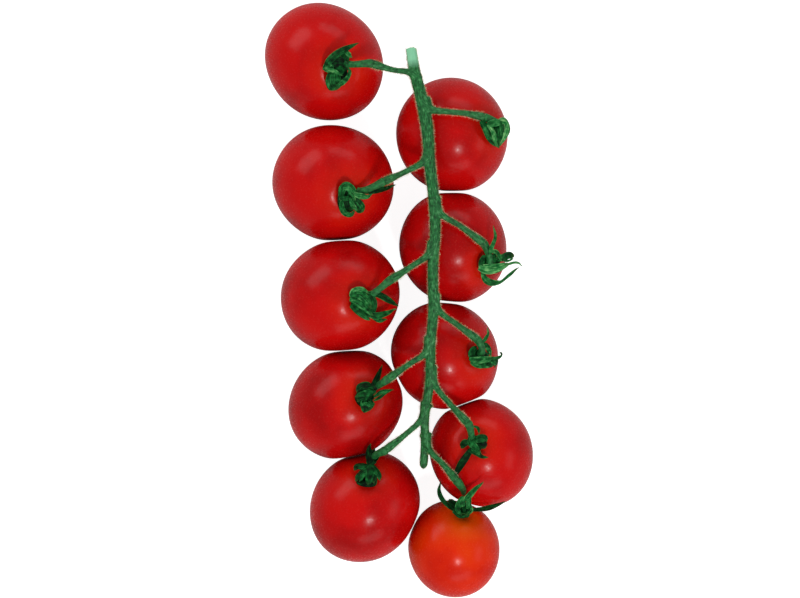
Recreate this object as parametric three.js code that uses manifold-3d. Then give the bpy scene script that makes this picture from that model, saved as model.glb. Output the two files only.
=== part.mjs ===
// A truss of ten ripe cherry tomatoes, cut from the plant and lying on a flat surface.
//
// The main stem with its ten fruit stalks grew as one piece. Each stalk has a swollen knuckle, where
// a fruit comes away: beyond it are the short end stalk and the calyx, one piece with its sepals,
// and then the tomato itself.
//
// Millimetres. +X runs across the truss, +Y along it towards the cut end of the stem, +Z up.
import * as THREE from "three";
import { mergeVertices } from "three/addons/utils/BufferGeometryUtils.js";
import Module from "manifold-3d";

const wasm = await Module();
wasm.setup();

// ---- driving dimensions ----

const GAP = 0.3; // between two pieces that touch
const SLIVER = 0.1; // detail finer than this is closed up where two solids are joined
const FRUIT_SIDES = 20;
const FRUIT_ROWS = 12;
const ROW_CROWDING = 1.2; // over 1, the rows lie closer together near the eye
const EYE_DEPTH = 0.08; // hollow round the stalk, as a share of the fruit's radius
const EYE_SPREAD = 0.2; // its half width, in radians
const STEM_SIDES = 8;
const MAIN_STEM_STEPS = 30;
const STALK_STEPS = 8;
const END_STALK_STEPS = 7;
const CALYX_RADIUS = 2.1;
const CALYX_THICKNESS = 1.0;
const SEPAL_ROOT = 1.1; // how far from the eye's middle a sepal starts
const SEPAL_ROOT_HEIGHT = 1.1;
const SEPAL_THICKNESS = 0.6;
const SEPAL_THINNING = 0.4; // how much of its thickness a sepal loses by its tip
const SEPAL_KEEL = 0.18; // how far a sepal's edges fold up, as a share of its width

// Centre line of the main stem, from the cut end to the blunt tip, and its radius on the way.
const MAIN_STEM = [
  [3.2, 69, 31],
  [4.1, 63, 32.5],
  [6.1, 55, 33],
  [7.6, 47, 33.2],
  [8.3, 37.5, 33],
  [9.5, 27, 32.8],
  [9.8, 18.5, 32.8],
  [9.2, 9, 32.5],
  [9.3, -3, 32.3],
  [8.6, -12, 32],
  [8.4, -22, 30.8],
  [7.1, -32, 29],
  [7, -41, 27.5],
  [6.6, -46.8, 26.5],
];
const MAIN_STEM_RADII = [1.45, 1.6, 1.75, 1.6, 1.55, 1.5, 1.45, 1.45, 1.4, 1.35, 1.3, 1.2, 1.15, 1.1];
const STALK_RADII = [1.6, 1.25, 1, 0.85, 0.85, 0.85, 0.9, 1.1, 1.2]; // from the main stem to the knuckle
const END_STALK_RADII = [1.2, 1.05, 1, 0.95, 0.95, 1.05, 1.3]; // from the knuckle to the calyx

// One entry for each fruit, from the cut end down: first left, then right of the main stem.
//   centre, long, short, turn: the fruit's outline from above, an oval turned by turn degrees
//   lift: how far its lowest point hangs above the surface
//   eye: where its stalk enters, from the centre of the outline
//   stalk: centre line from inside the main stem to the knuckle
//   rise: how strongly the end stalk stands up from the eye before it bends to the knuckle
//   sepals: width, then points out from the eye as [across, along, height over the skin]
const FRUITS = [
  {
    centre: [-21, 66.5], long: 34.5, short: 31.5, turn: 136, lift: 0, eye: [4.4, -3.7], rise: 5,
    stalk: [[5.3, 60, 32.6], [3, 62.2, 33.2], [-1.8, 63, 34], [-7.4, 64.6, 35]],
    sepals: [
      { width: 2.4, path: [[0.5, 3.5, 2], [3, 6.5, 2.5], [6, 7.5, 3]] },
      { width: 2, path: [[1.5, 2.5, 1.5], [3, 4, 2]] },
      { width: 3, path: [[-2.5, 0.5, 1.2], [-4.5, -0.5, 1.5]] },
      { width: 3, path: [[-1.5, -2.5, 1.2], [-0.5, -5, 1.5]] },
      { width: 2.5, path: [[1.5, -2, 1.2], [2.5, -4, 1.5]] },
    ],
  },
  {
    centre: [-18.5, 32.5], long: 34, short: 32.5, turn: 166, lift: 0, eye: [5.1, -3.8], rise: 5,
    stalk: [[8.3, 40.5, 32.8], [6.6, 37.8, 33.4], [2.6, 35.5, 34], [-4.2, 32.3, 35]],
    sepals: [
      { width: 2.5, path: [[-0.5, 2, 1.5], [-1, 3.5, 2]] },
      { width: 2.5, path: [[-2, 1, 1.2], [-3.5, 1, 1.2]] },
      { width: 3, path: [[-1.5, -3.5, 1.2], [-1, -6, 1.5]] },
      { width: 3, path: [[2, -2, 1.2], [4, -3.5, 1.5]] },
      { width: 2, path: [[3, -0.5, 1.5], [6, 0, 2]] },
      { width: 1.4, path: [[6.5, 1.5, 1.5], [12, 3, 3]] },
    ],
  },
  {
    centre: [-16.5, 1], long: 33.5, short: 31.5, turn: 20, lift: 2.2, eye: [6.5, -1.7], rise: 5,
    stalk: [[9.4, 15.5, 32.4], [8, 12.4, 33.2], [4, 9.5, 34], [-2.2, 5.5, 35.5]],
    sepals: [
      { width: 3, path: [[-2.5, 0.5, 1.2], [-4, 0.5, 1.2]] },
      { width: 2.5, path: [[-1, 2, 1.5], [-1.5, 3.5, 2]] },
      { width: 3, path: [[-1, -2.5, 1.2], [0.5, -5, 1.2]] },
      { width: 1.8, path: [[4, 2, 2], [7.5, 0.5, 3.5], [9.5, -1, 4]] },
      { width: 2.2, path: [[1.5, -3, 1.2], [4.5, -3.5, 1.8], [9.5, -1.5, 4]] },
      { width: 1.5, path: [[2.5, -4, 1.2], [5.5, -5, 1.5]] },
    ],
  },
  {
    centre: [-15, -29.3], long: 33, short: 30, turn: 33, lift: 1, eye: [6.1, 3], rise: 5,
    stalk: [[8.6, -10.5, 32], [7, -14.8, 32.2], [2.9, -17.6, 32.8], [-3.1, -21.8, 34.2]],
    sepals: [
      { width: 3, path: [[-2, 0.5, 1.2], [-3.5, 0, 1.2]] },
      { width: 3, path: [[-1, -2.5, 1.2], [0.5, -4, 1.5]] },
      { width: 2.5, path: [[1.5, -1, 1.2], [3, -2, 1.2]] },
      { width: 2.4, path: [[1.5, 3.5, 2], [3, 6.5, 3], [4, 8, 3.5]] },
      { width: 1.5, path: [[3.5, 1, 1.5], [7, 1, 2.5]] },
      { width: 2.5, path: [[-1.5, 2, 1.2], [-2.5, 3, 1.5]] },
    ],
  },
  {
    centre: [-9.7, -58], long: 32.5, short: 29.5, turn: 50, lift: 0, eye: [1, 10.8], rise: 4,
    stalk: [[7.6, -28.5, 29.6], [5.9, -33.2, 29.5], [1.9, -37, 30], [-3.7, -41.4, 31]],
    sepals: [
      { width: 3, path: [[-2, 0, 1.2], [-4, 0, 1.2]] },
      { width: 3, path: [[0, -2.5, 1.2], [0, -4, 1.5]] },
      { width: 3, path: [[2, -0.5, 1.2], [3.5, -1, 1.2]] },
      { width: 2.5, path: [[-0.5, 3.5, 2.5], [-0.5, 5.5, 4.5], [0.5, 6.5, 6.5]] },
      { width: 2.5, path: [[-2, 2, 1.5], [-3.5, 2.5, 1.5]] },
    ],
  },
  {
    centre: [14.7, 46], long: 32.5, short: 31, turn: 104, lift: 0, eye: [11.8, 1.2], rise: 2.5,
    stalk: [[6.8, 55, 33], [8.6, 52.3, 33.6], [12.8, 51.6, 33.8], [18.3, 51.1, 33], [23.3, 50.2, 31]],
    sepals: [
      { width: 2.2, path: [[-2.5, 1, 1.5], [-3.5, -0.5, 2], [-2.5, -3.5, 1.5], [0.5, -5.5, 1]] },
      { width: 2.4, path: [[2.5, 2.5, 1.5], [4, 0.5, 2.5], [3.5, -2.5, 2], [1.5, -5, 1.2]] },
      { width: 3, path: [[0, -2.5, 1.2], [0.5, -4.5, 1.2]] },
      { width: 2.4, path: [[-2, -2, 1], [-1.5, -4, 1]] },
      { width: 2.2, path: [[2.5, -1.5, 1], [2.5, -3.5, 1]] },
    ],
  },
  {
    centre: [15, 14.7], long: 31.5, short: 30, turn: 112, lift: 0, eye: [9.3, -5.2], rise: 3,
    stalk: [[9.6, 28, 32.8], [11.2, 23.8, 33.2], [16.7, 20.2, 33.2], [23.2, 15.5, 30.8]],
    sepals: [
      { width: 1.8, path: [[0.5, 2.5, 2], [1, 5, 3.5], [2, 8, 5], [1, 11, 6]] },
      { width: 2.4, path: [[2.5, 2, 2], [5.5, 3.5, 4], [7.5, 3, 5.5], [6.5, 1.5, 6]] },
      { width: 3.2, path: [[3, -0.5, 1.2], [6, 0.5, 2.5], [8, 0.5, 4], [10, -0.5, 5.5]] },
      { width: 2.2, path: [[-2, -2.5, 1.2], [0, -5, 1.2], [3, -5.5, 1.5], [5.5, -4, 3.5], [9, -0.5, 6]] },
      { width: 3, path: [[-1.5, -0.5, 1.2], [-2.5, -1, 1.2]] },
    ],
  },
  {
    centre: [12.6, -15.7], long: 31, short: 29.5, turn: 128, lift: 0, eye: [9.4, 0], rise: 3,
    stalk: [[9.4, 1.5, 32.4], [10.8, -2.9, 32.6], [15.9, -6.9, 32.6], [21.4, -10.9, 30.4]],
    sepals: [
      { width: 1.5, path: [[0.5, 2, 2], [1, 4.5, 3.5], [2, 6, 5], [2, 8, 6]] },
      { width: 1.5, path: [[1, 2, 2], [2, 3, 3], [3.5, 1.5, 3]] },
      { width: 2, path: [[2.5, -0.5, 1.2], [5, -0.5, 2], [6, 0, 3.5], [5.5, 1, 4.5]] },
      { width: 3, path: [[2, -1.5, 1.2], [4.5, -2.5, 1.5]] },
      { width: 3, path: [[-2, -1, 1.2], [-3, -1.5, 1.2]] },
      { width: 3, path: [[-0.5, -2, 1.2], [0, -3.5, 1.2]] },
    ],
  },
  {
    centre: [23, -43], long: 31, short: 28.5, turn: 117, lift: 0, eye: [-2.4, 3.7], rise: 3,
    stalk: [[8.6, -18.5, 31], [10, -23.8, 31], [14.1, -28.9, 32.2], [18.9, -34, 34]],
    sepals: [
      { width: 3, path: [[1.5, 1, 1.2], [3.5, 1.5, 1.5]] },
      { width: 2.5, path: [[1.5, 0, 1.2], [3, -1, 1.2]] },
      { width: 3, path: [[-2, -0.5, 1.2], [-3.5, -1, 1.2]] },
      { width: 2.5, path: [[1.5, -2.5, 1.2], [3.5, -4, 1.5]] },
      { width: 2.4, path: [[-1.2, -2.2, 1.3], [-2.2, -3.9, 1.2], [-4.8, -8.3, 1.2], [-6.4, -10.8, 2.6]] },
      { width: 2, path: [[1, 2.5, 1.5], [1, 4, 2]] },
    ],
  },
  {
    centre: [15.3, -70], long: 27.5, short: 25.5, turn: 104, lift: 0, eye: [2.3, 10.4], rise: 4,
    stalk: [[7.2, -37, 28], [8.2, -41.3, 28.4], [12, -45.4, 29.4], [15.7, -49.8, 29.6]],
    sepals: [
      { width: 2, path: [[1, 3.5, 4.5], [2.5, 6, 9], [4.5, 7.5, 11.5]] },
      { width: 2.6, path: [[2.5, 0.5, 2], [5.5, 1.5, 4], [7.5, 1.7, 6], [12, 3, 8.5]] },
      { width: 1.6, path: [[-2, 1, 2], [-5, 3.5, 4.5], [-6.5, 6.5, 7], [-6.5, 9, 9]] },
      { width: 2, path: [[-2, 2.5, 3], [-4, 4, 5]] },
    ],
  },
];

const RED_SKIN = new THREE.MeshStandardMaterial({ color: 0xbe1416, roughness: 0.35, metalness: 0 });
const ORANGE_SKIN = new THREE.MeshStandardMaterial({ color: 0xdc3a0c, roughness: 0.35, metalness: 0 });
const STEM_GREEN = new THREE.MeshStandardMaterial({ color: 0x23703c, roughness: 0.7, metalness: 0 });
const CALYX_GREEN = new THREE.MeshStandardMaterial({ color: 0x145a32, roughness: 0.7, metalness: 0 });

// ---- helpers ----

function toSolid(geometry) {
  const bare = geometry.clone();
  bare.deleteAttribute("normal");
  bare.deleteAttribute("uv");
  const merged = mergeVertices(bare, 1e-3);
  return new wasm.Manifold(
    new wasm.Mesh({
      numProp: 3,
      vertProperties: new Float32Array(merged.attributes.position.array),
      triVerts: new Uint32Array(merged.index.array),
    }),
  );
}

function toGeometry(solid) {
  const mesh = solid.getMesh();
  const geometry = new THREE.BufferGeometry();
  geometry.setAttribute("position", new THREE.BufferAttribute(mesh.vertProperties, mesh.numProp));
  geometry.setIndex(new THREE.BufferAttribute(mesh.triVerts, 1));
  const faceted = geometry.toNonIndexed();
  faceted.computeVertexNormals();
  return faceted;
}

// One solid of several that overlap. Where two sepals cross they can shut in a tiny pocket, which is
// a shell of its own: keeping only the largest shell fills it.
function join(geometries) {
  const whole = geometries.map(toSolid).reduce((sum, solid) => sum.add(solid));
  const shells = whole.simplify(SLIVER).decompose();
  return toGeometry(shells.reduce((a, b) => (b.volume() > a.volume() ? b : a)));
}

// Moves every vertex of a geometry by a function of its place.
function reshape(geometry, move) {
  const places = geometry.attributes.position;
  const point = new THREE.Vector3();
  for (let i = 0; i < places.count; i++) {
    point.fromBufferAttribute(places, i);
    move(point);
    places.setXYZ(i, point.x, point.y, point.z);
  }
  return geometry;
}

// Piecewise linear value at t, 0 to 1, of evenly spaced values.
function valueAt(values, t) {
  const place = t * (values.length - 1);
  const i = Math.min(Math.floor(place), values.length - 2);
  return THREE.MathUtils.lerp(values[i], values[i + 1], place - i);
}

// A closed round bar along a curve, its radius following the given values: a turned profile whose
// axis is bent on to the curve.
function bar(curve, radii, steps) {
  const profile = [new THREE.Vector2(0, 0)];
  for (let i = 0; i <= steps; i++) profile.push(new THREE.Vector2(valueAt(radii, i / steps), i / steps));
  profile.push(new THREE.Vector2(0, 1));
  const frames = curve.computeFrenetFrames(steps, false);
  return reshape(new THREE.LatheGeometry(profile, STEM_SIDES), (p) => {
    const i = Math.round(p.y * steps);
    const { x, z } = p;
    curve.getPointAt(i / steps, p);
    p.addScaledVector(frames.binormals[i], x).addScaledVector(frames.normals[i], z);
  });
}

// ---- fruit ----

// The oval frame of one fruit: a unit sphere drawn out to its length, breadth and height.
class Frame {
  constructor({ centre, long, short, turn, lift, eye }) {
    this.radius = Math.sqrt(long * short) / 2;
    this.centre = new THREE.Vector3(centre[0], centre[1], this.radius + lift);
    this.stretch = new THREE.Matrix4()
      .makeRotationZ(THREE.MathUtils.degToRad(turn))
      .scale(new THREE.Vector3(long / 2, short / 2, this.radius));
    this.shrink = this.stretch.clone().invert();
    this.eye = eye;
    this.axis = this.over(0, 0, 0).sub(this.centre).applyMatrix4(this.shrink).normalize();
  }

  // The point at a plan offset from the eye, at a height over the skin.
  over(across, along, height) {
    const p = new THREE.Vector3(this.eye[0] + across, this.eye[1] + along, 0).applyMatrix4(this.shrink);
    const reach = 1 + height / this.radius;
    p.z = Math.sqrt(Math.max(reach * reach - p.x * p.x - p.y * p.y, 0));
    return p.applyMatrix4(this.stretch).add(this.centre);
  }

  // The direction in which the stalk leaves the fruit.
  outward() {
    return this.axis.clone().applyMatrix4(this.stretch).normalize();
  }
}

// A tomato: a round profile with a hollow at the eye, turned about the eye's axis.
function fruitGeometry(frame) {
  const profile = [];
  for (let row = FRUIT_ROWS; row >= 0; row--) {
    const angle = Math.PI * (row / FRUIT_ROWS) ** ROW_CROWDING;
    const radius = 1 - EYE_DEPTH * Math.exp(-((angle / EYE_SPREAD) ** 2));
    profile.push(new THREE.Vector2(radius * Math.sin(angle), radius * Math.cos(angle)));
  }
  profile[0].x = 0;
  const geometry = new THREE.LatheGeometry(profile, FRUIT_SIDES);
  const turn = new THREE.Quaternion().setFromUnitVectors(new THREE.Vector3(0, 1, 0), frame.axis);
  return reshape(geometry, (p) => {
    p.applyQuaternion(turn).applyMatrix4(frame.stretch).add(frame.centre);
  });
}

function reachAlong(geometry, centre, direction) {
  let reach = 0;
  reshape(geometry, (p) => {
    reach = Math.max(reach, p.clone().sub(centre).dot(direction));
  });
  return reach;
}

// Flattens a fruit where it would pass a plane square to direction.
function flatten(geometry, centre, direction, limit) {
  reshape(geometry, (p) => {
    const past = p.clone().sub(centre).dot(direction) - limit;
    if (past > 0) p.addScaledVector(direction, -past);
  });
}

// Neighbours that press on each other share a flat, each giving half of what is too much.
function pressApart(a, b) {
  const direction = b.frame.centre.clone().sub(a.frame.centre);
  const distance = direction.length();
  direction.normalize();
  const reachA = reachAlong(a.geometry, a.frame.centre, direction);
  const reachB = reachAlong(b.geometry, b.frame.centre, direction.clone().negate());
  const excess = reachA + reachB + GAP - distance;
  if (excess <= 0) return;
  flatten(a.geometry, a.frame.centre, direction, reachA - excess / 2);
  flatten(b.geometry, b.frame.centre, direction.clone().negate(), reachB - excess / 2);
}

// ---- stems ----

function smoothLine(points) {
  return new THREE.CatmullRomCurve3(points.map((p) => new THREE.Vector3(...p)));
}

// The main stem with its ten stalks, each wide where it springs from the stem and at its knuckle.
function mainStem() {
  const stalks = FRUITS.map(({ stalk }) => bar(smoothLine(stalk), STALK_RADII, STALK_STEPS));
  return join([bar(smoothLine(MAIN_STEM), MAIN_STEM_RADII, MAIN_STEM_STEPS), ...stalks]);
}

// ---- calyx ----

// From the knuckle, over the fruit and down into its eye.
function endStalk(frame, stalk, rise) {
  const line = smoothLine(stalk);
  const along = line.getTangent(1);
  const start = line.getPoint(1).addScaledVector(along, GAP);
  const outward = frame.outward();
  const foot = frame.over(0, 0, 0).addScaledVector(outward, CALYX_THICKNESS / 2);
  const leave = start.clone().addScaledVector(along, start.distanceTo(foot) / 3);
  const arrive = foot.clone().addScaledVector(outward, rise);
  const curve = new THREE.CubicBezierCurve3(start, leave, arrive, foot);
  return bar(curve, END_STALK_RADII, END_STALK_STEPS);
}

// The small green disc that the sepals grow from, seated in the fruit's eye.
function disc(frame) {
  const profile = [
    new THREE.Vector2(0, 0),
    new THREE.Vector2(CALYX_RADIUS * 0.8, 0),
    new THREE.Vector2(CALYX_RADIUS, CALYX_THICKNESS * 0.6),
    new THREE.Vector2(CALYX_RADIUS * 0.6, CALYX_THICKNESS * 1.4),
    new THREE.Vector2(0, CALYX_THICKNESS * 1.6),
  ];
  const turn = new THREE.Quaternion().setFromUnitVectors(new THREE.Vector3(0, 1, 0), frame.outward());
  const seat = frame.over(0, 0, GAP);
  return reshape(new THREE.LatheGeometry(profile, STEM_SIDES), (p) => {
    p.applyQuaternion(turn).add(seat);
  });
}

// Share of a sepal's full width at s, 0 at its root to 1 at its tip.
function bladeWidth(s) {
  return Math.sin(Math.PI * (0.2 + 0.78 * s)) ** 0.8;
}

// A box bent along the sepal's centre line, tapered to a tip, its two edges folded up.
function sepalGeometry(frame, { width, path }) {
  const root = new THREE.Vector2(path[0][0], path[0][1]).setLength(SEPAL_ROOT);
  const points = [[root.x, root.y, SEPAL_ROOT_HEIGHT], ...path].map((p) => frame.over(...p));
  const curve = new THREE.CatmullRomCurve3(points);
  const steps = points.length + 1;
  return reshape(new THREE.BoxGeometry(1, 1, 1, 2, steps, 1), (p) => {
    const s = p.y + 0.5;
    const middle = curve.getPoint(s);
    const along = curve.getTangent(s);
    const side = along.clone().cross(middle.clone().sub(frame.centre)).normalize();
    const up = side.clone().cross(along).normalize();
    const across = p.x * width * bladeWidth(s);
    const raised = p.z * SEPAL_THICKNESS * (1 - SEPAL_THINNING * s) + 2 * SEPAL_KEEL * Math.abs(across);
    p.copy(middle).addScaledVector(side, across).addScaledVector(up, raised);
  });
}

function calyx({ frame, stalk, rise, sepals }) {
  return join([endStalk(frame, stalk, rise), disc(frame), ...sepals.map((s) => sepalGeometry(frame, s))]);
}

// ---- the truss ----

function mesh(name, geometry, material) {
  const piece = new THREE.Mesh(geometry, material);
  piece.name = name;
  return piece;
}

const fruits = FRUITS.map((entry) => {
  const frame = new Frame(entry);
  return { ...entry, frame, geometry: fruitGeometry(frame) };
});
fruits.forEach((a, i) => fruits.slice(i + 1).forEach((b) => pressApart(a, b)));

const pieces = new THREE.Group();
pieces.add(mesh("main_stem", mainStem(), STEM_GREEN));
fruits.forEach((fruit, i) => {
  const skin = i === fruits.length - 1 ? ORANGE_SKIN : RED_SKIN;
  pieces.add(mesh(`tomato_${i + 1}`, fruit.geometry, skin));
  pieces.add(mesh(`calyx_${i + 1}`, calyx(fruit), CALYX_GREEN));
});

// The origin is under the middle of the whole truss, on the surface that it lies on.
const extent = new THREE.Box3().setFromObject(pieces, true);
const middle = extent.getCenter(new THREE.Vector3());
pieces.position.set(-middle.x, -middle.y, -extent.min.z);

const truss = new THREE.Group();
truss.add(pieces);

export default truss;
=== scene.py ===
"""A truss of ten ripe cherry tomatoes, cut from the plant and lying on a pale table.

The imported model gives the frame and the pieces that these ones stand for. Every visible piece is
worked out here as a surface of two parameters on a grid, in millimetres from the frame's origin, and
turned to metres in its mesh: the fruits are round profiles with a hollow at the eye, the stems are
tubes along smooth lines, welded into one skin, and the sepals are folded ribbons along lines of
their own.
"""

import math

import bpy
import numpy as np
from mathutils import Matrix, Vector


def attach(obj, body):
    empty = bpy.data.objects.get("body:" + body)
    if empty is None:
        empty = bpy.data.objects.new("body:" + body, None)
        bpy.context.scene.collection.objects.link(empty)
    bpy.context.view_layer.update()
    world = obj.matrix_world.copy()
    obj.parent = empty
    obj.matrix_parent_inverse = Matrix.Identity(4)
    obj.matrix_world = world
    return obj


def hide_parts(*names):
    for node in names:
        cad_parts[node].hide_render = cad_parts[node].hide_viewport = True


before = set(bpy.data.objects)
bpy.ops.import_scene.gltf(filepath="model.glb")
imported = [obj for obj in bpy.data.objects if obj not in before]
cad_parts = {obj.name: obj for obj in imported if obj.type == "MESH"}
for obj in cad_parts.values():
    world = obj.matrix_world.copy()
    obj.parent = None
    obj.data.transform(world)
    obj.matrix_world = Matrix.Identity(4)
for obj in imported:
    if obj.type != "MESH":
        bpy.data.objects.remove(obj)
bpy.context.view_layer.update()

MM = 0.001
TAU = 2 * math.pi

# ---- the truss, in millimetres ----

# From the truss's own drawing axes to the frame, whose origin is under the middle of its box.
TO_FRAME = np.array([0.02, 0.46, -0.01])

# Centre line of the main stem, from the cut end to the blunt tip, and its radius on the way.
MAIN_STEM = [
    (3.2, 69, 31), (4.1, 63, 32.5), (6.1, 55, 33), (7.6, 47, 33.2), (8.3, 37.5, 33), (9.5, 27, 32.8),
    (9.8, 18.5, 32.8), (9.2, 9, 32.5), (9.3, -3, 32.3), (8.6, -12, 32), (8.4, -22, 30.8),
    (7.1, -32, 29), (7, -41, 27.5), (6.6, -46.8, 26.5),
]
MAIN_STEM_RADII = [1.45, 1.6, 1.75, 1.6, 1.55, 1.5, 1.45, 1.45, 1.4, 1.35, 1.3, 1.2, 1.15, 1.1]
MAIN_STEM_STEPS = 260
MAIN_STEM_COLS = 28
TIP_START = 0.985  # share of the main stem after which its tip is rounded off
TIP_LENGTH = 0.0155

# The stalks, from the main stem to the knuckle, as shares of the stalk's radius.
STALK_RADIUS = 0.9
STALK_SWELL = [2.1, 1.6, 1.25, 1.0, 0.92, 0.88, 0.86, 0.88, 0.95, 1.1, 1.28, 1.3]
STALK_STEPS = 60
STALK_COLS = 20
# The end stalks, from the knuckle to the calyx.
END_STALK_RADII = [1.22, 1.18, 1.08, 1.0, 0.95, 0.92, 0.92, 0.95, 0.98, 1.05, 1.15]
END_STALK_STEPS = 48
END_STALK_COLS = 24
KNUCKLE_OVERLAP = 0.15
STALK_END_EDGE = 0.3
END_EDGE_DRAW = 0.14  # how far a stalk's rounded end draws in, as a share of its radius
FLUTE_COUNT = 5
WELD_GRAIN = 0.24
WELD_PASSES = 5

CALYX_RADIUS = 2.1
CALYX_THICKNESS = 1.0
DISC_HEIGHT = 1.7  # in thicknesses
DISC_SINK = 0.4
DISC_STEPS = 14
DISC_COLS = 40
SEPAL_THICKNESS = 0.32
SEPAL_STEPS = 44
SEPAL_COLS = 20

# The fruits. Depths and lobes are shares of a fruit's radius, and spreads are in radians.
EYE_DEPTH = 0.08
EYE_SPREAD = 0.2
BLOSSOM_DEPTH = 0.012
BLOSSOM_SPREAD = 0.05
SKIN_ROWS = 112
SKIN_COLS = 176
ROW_CROWDING = 1.15  # over 1, the rows lie closer together near the eye
FRUIT_GAP = 0.3
FLAT_RIM = 0.5
FLAT_SLACK = 0.02

# The hairs.
HAIR_COUNT = 14000
HAIR_LENGTH = 0.8
HAIR_RADIUS = 0.032
HAIR_ROOT = 0.05  # how deep a hair is rooted, and how far its root strays
HAIR_LEAN = 0.35
HAIR_LIMIT = 0.45  # hairs grow where the skin's normal rises less than this

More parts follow.
